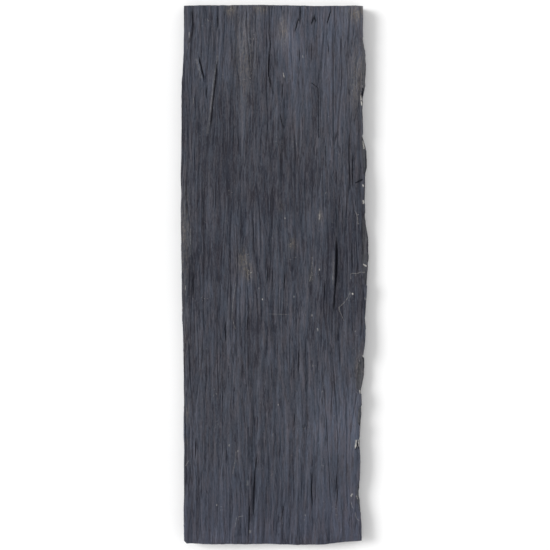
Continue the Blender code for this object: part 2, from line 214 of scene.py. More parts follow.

# ---- Marks that are only colour ----

# Pale scratches, chips and specks, and painted highlights on the flake lips: half width, strength and
# course
VEINS_AND_HIGHLIGHTS = (
    # scratches
    (0.0009, 0.32, ((0.252, 0.007), (0.236, 0.008), (0.229, 0.004), (0.208, 0.005), (0.211, -0.012))),
    (0.0009, 0.26, ((0.208, -0.045), (0.2038, -0.06), (0.1941, -0.0746), (0.1761, -0.0912),
        (0.1802, -0.1023), (0.1913, -0.1273))),
    (0.001, 0.22, ((-0.1095, -0.022), (-0.117, -0.08), (-0.1195, -0.118), (-0.1095, -0.151))),
    (0.0009, 0.36, ((0.2105, -0.628), (0.214, -0.6438), (0.2198, -0.649))),
    (0.0009, 0.32, ((0.2222, -0.657), (0.2245, -0.672), (0.229, -0.679), (0.2357, -0.6821))),
    (0.0008, 0.36, ((-0.1095, -0.672), (-0.087, -0.667))),
    (0.0009, 0.48, ((-0.249, -0.53), (-0.238, -0.513))),
    (0.0008, 0.2, ((-0.019, -0.108), (0.039, -0.1095))),
    (0.0009, 0.3, ((0.219, 0.179), (0.224, 0.1755), (0.2285, 0.16), (0.23, 0.144))),
    (0.002, 0.42, ((0.23, 0.145), (0.2308, 0.139))),
    (0.001, 0.4, ((0.1386, 0.224), (0.1442, 0.2325))),
    (0.0012, 0.26, ((0.103, 0.052), (0.1026, 0.026), (0.101, 0.002), (0.095, -0.02))),
    (0.0013, 0.16, ((-0.1085, -0.488), (-0.1109, -0.515), (-0.1172, -0.552))),
    (0.0008, 0.26, ((-0.1425, -0.65), (-0.1533, -0.6515))),
    (0.0008, 0.26, ((-0.1062, -0.669), (-0.1109, -0.699))),
    (0.001, 0.42, ((0.0755, 0.612), (0.078, 0.6))),
    (0.0011, 0.63, ((0.022, 0.562), (0.0255, 0.546))),
    # pale rims of the lifted flakes: partly their paler fresh edge, partly a painted highlight where each
    # lip faces the light
    (0.0028, 0.12, ((-0.2185, 0.602), (-0.212, 0.575), (-0.2035, 0.543))),
    (0.0032, 0.09, ((-0.159, 0.61), (-0.168, 0.545), (-0.176, 0.475), (-0.187, 0.39))),
    (0.0017, 0.28, ((-0.2375, 0.674), (-0.2365, 0.655))),
    (0.0012, 0.17, ((-0.237, 0.645), (-0.244, 0.625))),
    (0.001, 0.32, ((-0.2262, 0.493), (-0.2262, 0.474))),
    (0.002, 0.11, ((0.163, 0.045), (0.162, 0.0), (0.16, -0.03))),
    # specks
    (0.0017, 1.6, ((0.2142, -0.0485), (0.2156, -0.0565))),
    (0.0014, 0.55, ((0.0525, -0.0562), (0.0525, -0.0638))),
    (0.0014, 0.65, ((-0.035, -0.0638), (-0.035, -0.0712))),
    (0.0014, 0.5, ((-0.0445, -0.0338), (-0.0445, -0.0412))),
    (0.0014, 1.0, ((0.1234, 0.0186), (0.1234, 0.0114))),
    (0.0012, 0.8, ((0.028, 0.161), (0.028, 0.154))),
    (0.0015, 0.5, ((0.1244, 0.172), (0.1238, 0.162), (0.1228, 0.151))),
    (0.0022, 0.4, ((0.1608, -0.004), (0.1612, -0.012))),
    (0.002, 0.42, ((0.1178, -0.146), (0.118, -0.158))),
    (0.002, 0.34, ((0.1026, -0.106), (0.103, -0.116))),
    (0.0016, 0.6, ((-0.1262, -0.468), (-0.1272, -0.4765))),
    (0.0014, 0.45, ((-0.1031, -0.4838), (-0.1031, -0.4912))),
    (0.0036, 0.13, ((-0.0745, -0.568), (-0.0765, -0.586))),
    (0.0032, 0.22, ((-0.0678, -0.706), (-0.069, -0.718))),
    (0.0012, 0.7, ((-0.1612, -0.634), (-0.1618, -0.641))),
    (0.0012, 0.45, ((0.009, -0.3564), (0.009, -0.3638))),
    # chips on the right edge
    (0.0019, 2.4, ((0.2452, 0.374), (0.2462, 0.362), (0.2474, 0.349))),
    (0.0016, 2.0, ((0.2508, 0.291), (0.252, 0.281))),
    (0.0017, 1.2, ((0.2438, 0.253), (0.2446, 0.2475), (0.246, 0.243))),
    (0.0017, 1.6, ((0.245, 0.209), (0.2448, 0.196))),
    (0.0016, 1.7, ((0.244, 0.0305), (0.256, 0.0235))),
    (0.0018, 1.6, ((0.25, -0.0595), (0.2516, -0.069))),
    (0.0018, 1.8, ((0.2438, -0.2195), (0.2452, -0.227))),
    (0.002, 2.2, ((0.2352, -0.318), (0.2366, -0.33))),
    (0.0013, 1.6, ((0.2378, -0.363), (0.2384, -0.369))),
    (0.0021, 1.3, ((0.2248, -0.456), (0.2227, -0.482))),
    (0.0022, 1.3, ((0.2318, -0.454), (0.2342, -0.477))),
    (0.0014, 1.1, ((0.2176, -0.607), (0.2124, -0.6085), (0.211, -0.616))),
    (0.0022, 2.2, ((0.2275, -0.608), (0.2266, -0.6165))),
    (0.0013, 1.3, ((0.2292, -0.6195), (0.23, -0.624))),
    (0.0016, 2.2, ((0.239, 0.499), (0.2394, 0.486), (0.2404, 0.469))),
    # left edge
    (0.0018, 0.12, ((-0.2345, 0.13), (-0.2335, 0.09), (-0.234, 0.054))),
    (0.0012, 0.4, ((-0.2475, -0.028), (-0.249, -0.046))),
    (0.0012, 0.4, ((-0.2487, -0.085), (-0.2487, -0.089))),
    (0.0012, 0.49, ((0.164, -0.388), (0.165, -0.396))),
)
# Dark lines drawn black: hairline cracks, partly painted shade down their gaps, and painted shadow in the
# notch and along a shaded stretch of the right edge. Half width, strength and course
HAIRS_AND_SHADOWS = (
    (0.0011, 0.9, ((0.0995, 0.534), (0.1195, 0.519), (0.1214, 0.378))),
    (0.0024, 1.1, ((0.221, 0.2545), (0.233, 0.2597), (0.245, 0.2662))),
    (0.0012, 0.7, ((0.14, 0.36), (0.141, 0.3))),
    (0.0012, 1.2, ((0.2287, -0.458), (0.2281, -0.473), (0.2225, -0.486))),
    (0.0012, 1.0, ((0.2296, -0.471), (0.2335, -0.484))),
    # painted shadow inside the notch in the right side
    (0.0034, 1.3, ((0.245, 0.52), (0.244, 0.508), (0.2432, 0.496), (0.2434, 0.48))),
    # painted shadow along a shaded stretch of the right edge
    (0.0014, 0.7, ((0.2524, 0.339), (0.2532, 0.315), (0.2526, 0.294))),
    (0.0011, 0.5, ((0.2412, 0.143), (0.2425, 0.115), (0.2428, 0.08), (0.2424, 0.055))),
    # the fine cracks near the top
    (0.0017, 0.85, ((0.0709, 0.735), (0.0704, 0.722), (0.0698, 0.705))),
    (0.0016, 0.95, ((0.069, 0.716), (0.0638, 0.706), (0.0555, 0.677))),
    (0.0016, 1.0, ((0.1071, 0.713), (0.1012, 0.697))),
    (0.002, 1.1, ((0.1096, 0.715), (0.1132, 0.704))),
    (0.0015, 1.0, ((0.156, 0.733), (0.1528, 0.727), (0.1445, 0.698))),
)
LINE_END = 0.003  # a line fades out over this length
LINE_REACH, FAR = 12.0, 16.0  # its fields end this many half widths away, and stay within the second

# Patches: x, y, half width, half length, strength. First rust-brown stains
STAINS = (
    (-0.125, 0.737, 0.014, 0.014, 1.0),
    (-0.039, 0.737, 0.016, 0.012, 1.0),
    (-0.085, 0.606, 0.028, 0.11, 0.52),
    (0.023, 0.676, 0.012, 0.04, 0.7),
    (0.226, 0.727, 0.022, 0.024, 1.0),
    (0.228, 0.542, 0.022, 0.085, 0.65),
    (-0.25, 0.1, 0.013, 0.13, 0.7),
    (-0.247, -0.18, 0.012, 0.085, 0.3),
    (-0.09, 0.044, 0.013, 0.026, 0.9),
    (-0.075, 0.008, 0.012, 0.022, 0.9),
    (0.047, 0.086, 0.01, 0.013, 0.9),
    (0.124, 0.163, 0.006, 0.014, 0.9),
    (0.1, -0.002, 0.006, 0.022, 0.6),
    (0.019, 0.19, 0.007, 0.014, 0.6),
    (0.238, -0.264, 0.016, 0.038, 0.8),
    (0.253, 0.095, 0.01, 0.06, 0.6),
    (-0.2435, -0.385, 0.006, 0.022, 0.6),
    (-0.244, -0.466, 0.005, 0.01, 0.5),
    (0.25, 0.575, 0.01, 0.085, 0.5),
)
# Lighter areas, and darker ones with a minus
TONES = (
    (0.0, 0.6, 0.4, 0.2, 0.1),
    (0.0, 0.15, 0.4, 0.28, -0.09),
    (0.033, 0.675, 0.026, 0.06, 0.5),
    (0.056, 0.59, 0.03, 0.1, 0.3),
    (-0.089, 0.64, 0.022, 0.085, 0.26),
    (0.228, 0.735, 0.045, 0.06, 0.44),
    (0.15, 0.7, 0.06, 0.07, 0.16),
    (0.24, 0.598, 0.025, 0.08, 0.22),
    (0.16, 0.43, 0.028, 0.12, 0.2),
    (-0.135, 0.365, 0.034, 0.15, -0.27),
    (-0.235, 0.43, 0.04, 0.11, -0.12),
    (-0.03, 0.212, 0.044, 0.055, -0.28),
    (-0.028, 0.523, 0.022, 0.09, -0.28),
    (0.119, 0.459, 0.014, 0.09, -0.15),
    (0.028, 0.32, 0.045, 0.06, -0.15),
    (0.168, 0.01, 0.034, 0.11, -0.2),
    (0.225, 0.11, 0.03, 0.08, -0.14),
    (-0.222, -0.03, 0.018, 0.16, -0.14),
    (-0.218, -0.069, 0.022, 0.04, -0.05),
    (-0.047, -0.147, 0.045, 0.022, -0.28),
    (0.139, -0.125, 0.018, 0.065, -0.18),
    (-0.082, 0.028, 0.02, 0.038, 0.32),
    (-0.098, -0.05, 0.022, 0.05, 0.18),
    (0.122, 0.17, 0.02, 0.038, 0.2),
    (0.16, -0.417, 0.08, 0.11, 0.34),
    (0.205, -0.4, 0.04, 0.11, 0.24),
    (0.225, -0.6, 0.03, 0.12, 0.14),
    (-0.181, -0.283, 0.035, 0.045, -0.05),
    (-0.055, -0.236, 0.022, 0.06, -0.1),
    (-0.153, -0.43, 0.045, 0.07, -0.12),
    (-0.181, 0.07, 0.03, 0.06, -0.15),
    (0.097, 0.264, 0.03, 0.05, -0.14),
    (-0.167, -0.555, 0.05, 0.06, 0.08),
    (0.195, -0.653, 0.05, 0.06, 0.19),
    (0.253, 0.095, 0.01, 0.055, 0.26),
    (0.16, 0.64, 0.11, 0.11, 0.05),
    (0.17, 0.37, 0.1, 0.12, 0.06),
    (-0.2, 0.37, 0.09, 0.12, -0.03),
    (0.222, 0.574, 0.034, 0.09, 0.07),
    (-0.248, 0.13, 0.014, 0.13, 0.12),
    (0.006, -0.03, 0.014, 0.018, 0.16),
    (-0.064, 0.28, 0.03, 0.045, -0.1),
    (-0.205, -0.345, 0.045, 0.05, 0.06),
    (-0.155, -0.735, 0.09, 0.03, 0.2),
    (-0.15, -0.6, 0.1, 0.12, 0.03),
    (-0.105, 0.744, 0.05, 0.018, 0.2),
    (0.072, 0.742, 0.038, 0.022, 0.2),
    (-0.125, 0.55, 0.016, 0.05, 0.13),
    (0.155, 0.555, 0.018, 0.045, 0.12),
    (0.238, 0.345, 0.014, 0.05, 0.13),
    (-0.005, 0.228, 0.022, 0.03, 0.15),
    (-0.085, 0.105, 0.014, 0.035, 0.14),
    (0.15, -0.175, 0.018, 0.045, 0.13),
    (-0.255, -0.43, 0.014, 0.045, 0.13),
    (-0.07, -0.44, 0.016, 0.05, 0.09),
    (-0.165, 0.64, 0.022, 0.05, -0.11),
    (-0.25, 0.53, 0.016, 0.06, -0.11),
    (-0.1, 0.01, 0.024, 0.022, -0.11),
    (0.215, -0.025, 0.026, 0.045, -0.11),
    (0.24, -0.21, 0.012, 0.025, -0.14),
    (-0.105, -0.348, 0.034, 0.024, -0.11),
)
TONE_SCALE = 1.35  # all of them are this much stronger than listed
# Where the grain shows less
CALM = (
    (0.0, -0.64, 0.26, 0.15, 0.2),
    (-0.18, 0.64, 0.08, 0.14, 0.14),
    (0.0, 0.11, 0.3, 0.11, 0.07),
)
CALM_SHADE = 1.03
# Where the stone turns to violet, and with a minus to a plainer grey
HUES = (
    (0.0, -0.74, 0.5, 0.16, 1.0),
    (0.2, -0.73, 0.09, 0.08, 0.45),
    (0.06, 0.35, 0.3, 0.11, -0.85),
    (-0.12, -0.28, 0.12, 0.08, -0.6),
)
PATCH_FALL = 0.9  # a patch is down to exp(-0.9) at its half width
CRACK_SHADE_WIDTH, CRACK_SHADE_DARKNESS = 0.0040, 0.30  # painted shade beside each crack: how far it reaches, how dark
CRACK_SHADE_END, CRACK_SHADE_FULL = 0.15, 0.007  # the share of a crack it fades over, and the depth that has it all
# How far each kind of mark runs down a side
PATCH_DEPTH, VEIN_DEPTH, HAIR_DEPTH = 0.020, 0.0080, 0.0170


def noise_at(across, along, layer):
    """Noise from about -1 to 1 at each point of two equal arrays."""
    pairs = zip(np.ravel(across).tolist(), np.ravel(along).tolist())
    values = [noise.noise((a, b, layer)) for a, b in pairs]
    return np.array(values).reshape(np.shape(across))


def smooth(t):
    """0 below 0, 1 above 1, and an S curve between."""
    t = np.clip(t, 0.0, 1.0)
    return t * t * (3 - 2 * t)


def interpolate(points, at):
    """The value at `at` on a line through (position, value) points, level past its ends."""
    positions, values = zip(*points)
    return np.interp(at, positions, values)


# ---- Relief ----


def grain(x, y, across, along, layer):
    """Noise drawn out along the grain. Each layer is a pattern of its own."""
    drift, reach = GRAIN_DRIFT
    x = x + drift * noise_at(x / reach, y / reach, DRIFT_NOISE)
    return noise_at(x / across, y / along + GRAIN_SHIFT * layer, GRAIN_GAP * layer)


def relief(x, y, kind):
    """Heights of one kind, from (height, wavelengths across and along, noise)."""
    height, across, along, layer = kind
    return height * grain(x, y, across, along, layer)


def terrace(height, step):
    """A height cut into split levels `step` apart, with steep risers between them."""
    level = np.floor(height / step)
    return step * (level + smooth((height / step - level - RISER_START) / RISER_LENGTH))


def cleft_face(x, y):
    """How far the cleft face stands above THICKNESS, as the CAD slab has it."""
    z = relief(x, y, SWELL)
    z += terrace(relief(x, y, LEDGES), LEDGES[0] / LEDGE_LEVELS)
    z += terrace(relief(x, y, FLAKES), FLAKES[0] / FLAKE_LEVELS)
    z += relief(x, y, RIDGES)
    inside = smooth((y - STRIP_LOW) / STRIP_END) * smooth((STRIP_HIGH - y) / STRIP_END)
    edge = interpolate(LEFT_SIDE, y) + STRIP_WIDTH
    return z + STRIP_HEIGHT * inside * smooth((edge - x) / STRIP_SLOPE)


def fine_relief(x, y):
    """Fine laminae, fibres and creases on the cleft face."""
    z = np.zeros_like(x)
    for height, across, along, step, layer in LAMINAE:
        z += terrace(height * grain(x, y, across, along, layer), step)
    z += relief(x, y, FIBRES)
    for depth, across, along, share, layer in CREASES:
        near = 1 - np.abs(grain(x, y, across, along, layer)) / share
        shown = grain(x, y, CREASE_SPREAD * across, along, layer + CREASE_SHOWN)
        z -= depth * smooth(CREASE_MIDDLE + CREASE_GAIN * shown) * smooth(near)
    return z


def back_face(x, y):
    """How far the back stands off the resting plane."""
    level = relief(x, y, BACK_HOLLOWS) / BACK_STEP
    steps = np.floor(level + 0.5)
    soft = steps - 1 + smooth((level + 0.5 - steps) / BACK_RISER)
    hollow = BACK_STEP * np.maximum(0.0, soft)
    return hollow + np.abs(relief(x, y, BACK_RIDGES))


def course_at(course, y):
    """x of a course at each y, and how far along the course that is, from 0 to 1."""
    xs, ys = np.array(course[::-1]).T
    return np.interp(y, ys, xs), (y - ys[0]) / (ys[-1] - ys[0])


def crack_form(x, y, width, depth, course):
    """How deep a crack is at each point."""
    middle, along = course_at(course, y)
    open_there = (along > 0) & (along < 1)
    taper = CRACK_END + (1 - CRACK_END) * np.sin(np.pi * np.clip(along, 0, 1)) ** CRACK_CURVE
    crack = np.full_like(y, course[0][0] * CRACK_GAP)
    ragged = 1 + CRACK_RAGGED * noise_at(y / CRACK_LENGTH, crack, CRACK_NOISE)
    t = np.abs(x - middle) / (width / 2 * taper * ragged)
    wall = (1 - np.minimum(t, 1) ** 2) ** CRACK_CURVE
    return np.where(open_there & (t < 1), depth * taper * wall, 0.0)


def lip_form(x, y, height, run, course):
    """How far a flake's lip lifts at each point: it rises to its edge, then drops."""
    edge, along = course_at(course, y)
    there = smooth(along / LIP_END) * smooth((1 - along) / LIP_END)
    back_from_edge = (edge - x) / run
    rise = np.where(back_from_edge >= 0, np.exp(-np.maximum(back_from_edge, 0)), 0.0)
    return height * there * rise


def carve(x, y):
    """How far the lips lift the face, and how far the cracks cut into it."""
    lifted, cut = np.zeros_like(x), np.zeros_like(x)
    for height, run, course in LIPS:
        lifted += lip_form(x, y, height, run, course)
    for width, depth, course in CRACKS:
        cut = np.maximum(cut, crack_form(x, y, width, depth, course))
    return lifted, cut


# ---- Sides ----


def edge_notch(y):
    """How far the notch bites into the right side."""
    middle, half, deepest = EDGE_NOTCH
    return deepest * np.maximum(0.0, 1 - ((y - middle) / half) ** 2)


def right_bite(y, w):
    """How far the flake scars and the notch bite into the right side at thickness share w."""
    bite = np.zeros_like(y)
    for middle, half, deepest in FLAKE_SCARS:
        bite = np.maximum(bite, deepest * np.sqrt(np.maximum(0.0, 1 - ((y - middle) / half) ** 2)))
    bite *= smooth((w - 1 + SCAR_DEPTH) / SCAR_DEPTH)
    return np.maximum(bite, edge_notch(y) * (w > NOTCH_FLOOR))


def side_noise(along, length, shift, layer):
    """Noise along a side. Each shift and each layer is a pattern of its own."""
    return noise_at(along / length, np.full_like(along, shift), layer)


def chipping(along, side, lamina, kind):
    """How chipped one thin lamina of a side is along it, from 0 to about 1."""
    height, length, gap, layer = kind
    return np.abs(side_noise(along, length, side + gap * lamina, layer))


def stand_back(side, along, w, step):
    """How far a side stands back from the outline at thickness share w."""
    if w in (0.0, 1.0):
        return ARRIS * (1 + side_noise(along, ARRIS_LENGTH, ARRIS_GAP * w, side))
    layer = sum(w > level for level in LEVELS)
    thick = step * np.abs(side_noise(along, LAMINA_LENGTH, LAYER_GAP * layer + LAYER_START, side))
    lamina = sum(w > level for level in SIDE_LAMINAE)
    most = CHIPS[0]
    thin = terrace(most * CHIP_GAIN * chipping(along, side, lamina, CHIPS), most / CHIP_LEVELS)
    for kind in (FINE_CHIPS, LONG_CHIPS):
        thin += kind[0] * chipping(along, side, lamina, kind)
    return thick + thin * step / RIGHT_STEP


def plan(u, v, w):
    """x and y of the points at shares u of the width and v of the length, at thickness share w."""
    x, y = WIDTH * (u - 0.5), LENGTH * (v - 0.5)
    left = interpolate(LEFT_SIDE, y) + stand_back(LEFT, y, w, LEFT_STEP)
    right = interpolate(RIGHT_SIDE, y) - stand_back(RIGHT, y, w, RIGHT_STEP) - right_bite(y, w)
    near_left, near_right = smooth(1 - WIDTH * u / BORDER), smooth(1 - WIDTH * (1 - u) / BORDER)
    x = x + (left + WIDTH / 2) * near_left + (right - WIDTH / 2) * near_right
    top = interpolate(TOP_END, x) - stand_back(TOP, x, w, END_STEP)
    corner = np.maximum(0.0, CORNER_CUT - (x - left))
    bottom = interpolate(BOTTOM_END, x) - stand_back(BOTTOM, x, w, END_STEP) - corner
    near_top, near_bottom = smooth(1 - LENGTH * (1 - v) / BORDER), smooth(1 - LENGTH * v / BORDER)
    return x, y + top * near_top - bottom * near_bottom


# ---- Mesh ----


def ring_indices():
    """(row, column) of each vertex round the border of the grid, anticlockwise from above."""
    bottom = [(0, i) for i in range(COLUMNS)]
    right = [(j, COLUMNS) for j in range(ROWS)]
    top = [(ROWS, i) for i in range(COLUMNS, 0, -1)]
    left = [(j, 0) for j in range(ROWS, 0, -1)]
    return np.array(bottom + right + top + left)


def snap_columns(x, y):
    """Moves the nearest vertex of each row onto the middle of each crack that crosses the row."""
    rows, columns = np.arange(x.shape[0]), x.shape[1]
    for width, depth, course in CRACKS:
        middle, along = course_at(course, y[:, columns // 2])
        inside = (along > 0) & (along < 1)
        nearest = np.abs(x - middle[:, None]).argmin(axis=1)
        keep = inside & (nearest >= FIXED_COLUMNS) & (nearest < columns - FIXED_COLUMNS)
        x[rows[keep], nearest[keep]] = middle[keep]


def face_grid():
    """The grid of the cleft face: shares of the width and length, then x, y and z."""
    shares = np.arange(COLUMNS + 1) / COLUMNS
    u = shares - SPREAD * np.sin(2 * np.pi * shares) / (2 * np.pi)
    u, v = np.meshgrid(u, np.arange(ROWS + 1) / ROWS)
    x, y = plan(u, v, 1.0)
    snap_columns(x, y)
    lifted, cut = carve(x, y)
    z = THICKNESS + cleft_face(x, y) + fine_relief(x, y) + lifted - cut
    border = tuple(ring_indices().T)
    z[border] -= (EDGE_DROP * (1 + noise_at(x, y / EDGE_LENGTH, EDGE_NOISE)))[border]
    return u, v, x, y, z


def face_quads():
    """The quads of the cleft face."""
    stride = COLUMNS + 1
    corners = [j * stride + i for j in range(ROWS) for i in range(COLUMNS)]
    return [(a, a + 1, a + 1 + stride, a + stride) for a in corners]


def side_shares():
    """The thickness share of each ring of vertices round the sides, from the top down."""
    edges = [(level + LEDGE, level - LEDGE) for level in SIDE_LAMINAE[::-1]]
    return [share for pair in edges for share in pair] + [0.0]


def band(spans, ring):
    """The faces between a ring and the spans of vertices above it, one span to a face."""
    pairs = zip(spans, ring, np.roll(ring, -1))
    return [(span[0], here, after, *span[:0:-1]) for span, here, after in pairs]


def make_stone():
    """Vertices and faces. Then how deep in a crevice each vertex of the face is, and, for the face
    and sides, whether it is on a scar and how far below the arris it counts as.
    """
    u, v, x, y, z = face_grid()
    border = ring_indices()
    on_face = border[:, 0] * (COLUMNS + 1) + border[:, 1]
    kept = [k for k, (j, i) in enumerate(border) if 0 < j < ROWS or i % END_EVERY == 0]
    stops = kept[1:] + [len(border)]
    spans = [[on_face[k % len(border)] for k in range(a, b + 1)] for a, b in zip(kept, stops)]
    ring = border[kept]
    at = tuple(ring.T)
    on_right = ring[:, 1] == COLUMNS
    low_z = back_face(*plan(u[at], v[at], 0.0))
    verts, faces = [np.stack([x, y, z], axis=-1).reshape(-1, 3)], face_quads()
    scars, depths = [np.zeros(x.size)], [np.zeros(x.size)]
    count = x.size
    for w in side_shares():
        px, py = plan(u[at], v[at], w)
        verts.append(np.stack([px, py, low_z + (z[at] - low_z) * w], axis=-1))
        scar = smooth(right_bite(py, 1.0) / SCAR_FULL) * on_right * (w > 1 - SCAR_DEPTH)
        in_notch = smooth(edge_notch(py) / NOTCH_FULL) * on_right * (w > NOTCH_FLOOR - 2 * LEDGE)
        scars.append(scar)
        depths.append(THICKNESS * (1 - w) * (1 - np.maximum(scar, NOTCH_MARKS * in_notch)))
        places = count + np.arange(len(ring))
        faces += band(spans, places)
        spans = list(zip(places, np.roll(places, -1)))
        count += len(ring)
    add_back(verts, faces, u, v, ring, places, count)
    return np.concatenate(verts), faces, crevices(z).ravel(), np.concatenate(scars), np.concatenate(depths)


def blurred(z, columns):
    """The mean of `columns` neighbours across the grain at each vertex of the grid."""
    half = columns // 2
    wide = np.pad(z, ((0, 0), (half, half)), mode="edge")
    total = np.cumsum(np.pad(wide, ((0, 0), (1, 0))), axis=1)
    return (total[:, columns:] - total[:, :-columns]) / columns


def crevices(z):
    """How far each vertex of the grid lies below its neighbours, fine and broad, from -1 to 1."""
    hollows = [(blurred(z, columns) - z) / full for full, columns in CREVICES]
    return np.clip(sum(hollows) / len(hollows), -1.0, 1.0)


def add_back(verts, faces, u, v, ring, ring_verts, count):
    """Adds the back, a coarse grid inside the fine border. Its first new vertex is number count."""
    index = {(int(j), int(i)): int(k) for (j, i), k in zip(ring, ring_verts)}
    col_stops = list(range(0, COLUMNS, BACK_EVERY)) + [COLUMNS]
    row_stops = list(range(0, ROWS, BACK_EVERY)) + [ROWS]
    inner = [(j, i) for j in row_stops[1:-1] for i in col_stops[1:-1]]
    for n, key in enumerate(inner):
        index[key] = count + n
    at = tuple(np.array(inner).T)
    x, y = plan(u[at], v[at], 0.0)
    verts.append(np.stack([x, y, back_face(x, y)], axis=-1))
    for j0, j1 in zip(row_stops, row_stops[1:]):
        for i0, i1 in zip(col_stops, col_stops[1:]):
            walk = [(j0, i) for i in range(i0, i1)] + [(j, i1) for j in range(j0, j1)]
            walk += [(j1, i) for i in range(i1, i0, -1)] + [(j, i0) for j in range(j1, j0, -1)]
            faces.append(tuple(index[key] for key in walk if key in index)[::-1])


verts, faces, crevice, scar, depth = make_stone()
mesh = bpy.data.meshes.new("riven_slab")
mesh.from_pydata([tuple(p) for p in verts.tolist()], [], [tuple(int(k) for k in f) for f in faces])
mesh.validate()
mesh.shade_smooth()
mesh.set_sharp_from_angle(angle=SHARP_ANGLE)
slab = bpy.data.objects.new("riven_slab", mesh)
bpy.context.scene.collection.objects.link(slab)

# ---- Marks, as attributes of the mesh ----


def patches(x, y, spots):
    """The sum of soft patches at each point."""
    total = np.zeros_like(x)
    for middle_x, middle_y, half_width, half_length, strength in spots:
        reach = ((x - middle_x) / half_width) ** 2 + ((y - middle_y) / half_length) ** 2
        total += strength * np.exp(-PATCH_FALL * reach)
    return total


def along_course(x, y, course):
    """How far each point is to the side of a course and along it, and the length of the course."""
    points = np.array(course)
    steps = np.diff(points, axis=0)
    lengths = np.hypot(steps[:, 0], steps[:, 1])
    run = np.concatenate([[0.0], np.cumsum(lengths)])
    near = np.full_like(x, np.inf)
    side, along = np.zeros_like(x), np.zeros_like(x)
    for n, (start, step, length) in enumerate(zip(points, steps, lengths)):
        dx, dy = x - start[0], y - start[1]
        t = (dx * step[0] + dy * step[1]) / length
        # The first and the last stretch go on past the ends of the course
        held = np.clip(t, -np.inf if n == 0 else 0.0, np.inf if n == len(steps) - 1 else length)
        away = np.hypot(dx - step[0] / length * held, dy - step[1] / length * held)
        closer = away < near
        near = np.where(closer, away, near)
        side = np.where(closer, away * np.sign(dx * step[1] - dy * step[0]), side)
        along = np.where(closer, run[n] + t, along)
    return side, along, run[-1]


def line_fields(x, y, lines):
    """Fields that draw thin lines: across them in half widths, in from their ends, and strength."""
    best = np.full_like(x, np.inf)
    across, inward, strengths = np.full_like(x, FAR), np.full_like(x, -FAR), np.zeros_like(x)
    for half_width, strength, course in lines:
        side, along, length = along_course(x, y, course)
        side = side / half_width
        ends = np.minimum(np.minimum(along, length - along) / LINE_END, LINE_REACH - np.abs(side))
        away = np.maximum(np.abs(side), -ends)
        closer = away < best
        best = np.where(closer, away, best)
        across = np.where(closer, side, across)
        inward = np.where(closer, ends, inward)
        strengths = np.where(closer, strength, strengths)
    return np.clip(across, -FAR, FAR), np.clip(inward, -FAR, FAR), strengths


def crack_shade(x, y):
    """How dark the painted shade beside the cracks is at each point."""
    painted_shade = np.zeros_like(x)
    for width, depth, course in CRACKS:
        middle, along = course_at(course, y)
        reach = np.exp(-(((x - middle) / (CRACK_SHADE_WIDTH + width / 2)) ** 2))
        ends = smooth(along / CRACK_SHADE_END) * smooth((1 - along) / CRACK_SHADE_END)
        painted_shade = np.maximum(painted_shade, reach * ends * min(1.0, depth / CRACK_SHADE_FULL))
    return CRACK_SHADE_DARKNESS * painted_shade


def add_attribute(name, values):
    """Gives each vertex a value, which is 0 past the end of values."""
    data = np.zeros(len(mesh.vertices), dtype=np.float32)
    data[: len(values)] = values
    mesh.attributes.new(name, "FLOAT", "POINT").data.foreach_set("value", data)


def add_marks():
    """Adds what the material reads: relief, patches and lines."""
    x, y = verts[:, 0], verts[:, 1]
    below = np.full(len(verts), THICKNESS)  # how far below the arris; 0 on the face and the scars
    below[: len(depth)] = depth
    on_face = smooth(1 - below / PATCH_DEPTH)
    on_side = np.zeros(len(verts))
    on_side[len(crevice) : len(depth)] = 1.0
    add_attribute("crevice", crevice)
    add_attribute("scar", scar)
    add_attribute("side", on_side)
    add_attribute("stain", patches(x, y, STAINS) * on_face)
    # The tone holds the patches, less the painted shade beside the cracks
    add_attribute("tone", (TONE_SCALE * patches(x, y, TONES) - crack_shade(x, y)) * on_face)
    add_attribute("calm", patches(x, y, CALM) * on_face)
    add_attribute("hue", patches(x, y, HUES))
    # Black cores along the cracks, painted shade on their floors
    cores = tuple((CORE_WIDTH * width, deep / CORE_DARK, course) for width, deep, course in CRACKS)
    for name, lines, reach in (("vein_and_highlight", VEINS_AND_HIGHLIGHTS, VEIN_DEPTH), ("hair_and_shadow", HAIRS_AND_SHADOWS + cores, HAIR_DEPTH)):
        across, inward, strengths = line_fields(x, y, lines)
        add_attribute(name + "_across", np.where(below < reach, across, FAR))
        add_attribute(name + "_inward", np.where(below < reach, inward - below / LINE_END, -FAR))
        add_attribute(name + "_strength", strengths)


add_marks()

# ---- Material ----

BLUE_SLATE = (0.0350, 0.0416, 0.0596, 1.0)
MAUVE_SLATE = (0.0480, 0.0460, 0.0580, 1.0)
RUST = (0.092, 0.080, 0.066, 1.0)
CHALK_AND_HIGHLIGHT = (0.42, 0.408, 0.388, 1.0)
SCAR_GREY = (0.090, 0.092, 0.102, 1.0)
SHADOW_BLACK = (0.010, 0.011, 0.015, 1.0)
# What the stone's colour is multiplied by
DEEP_TINT = (0.92, 0.89, 1.06, 1.0)  # in dark parts, which turn a little to violet
VIOLET_TINT = (1.03, 1.00, 1.05, 1.0)
GREY_TINT = (1.025, 1.00, 0.970, 1.0)

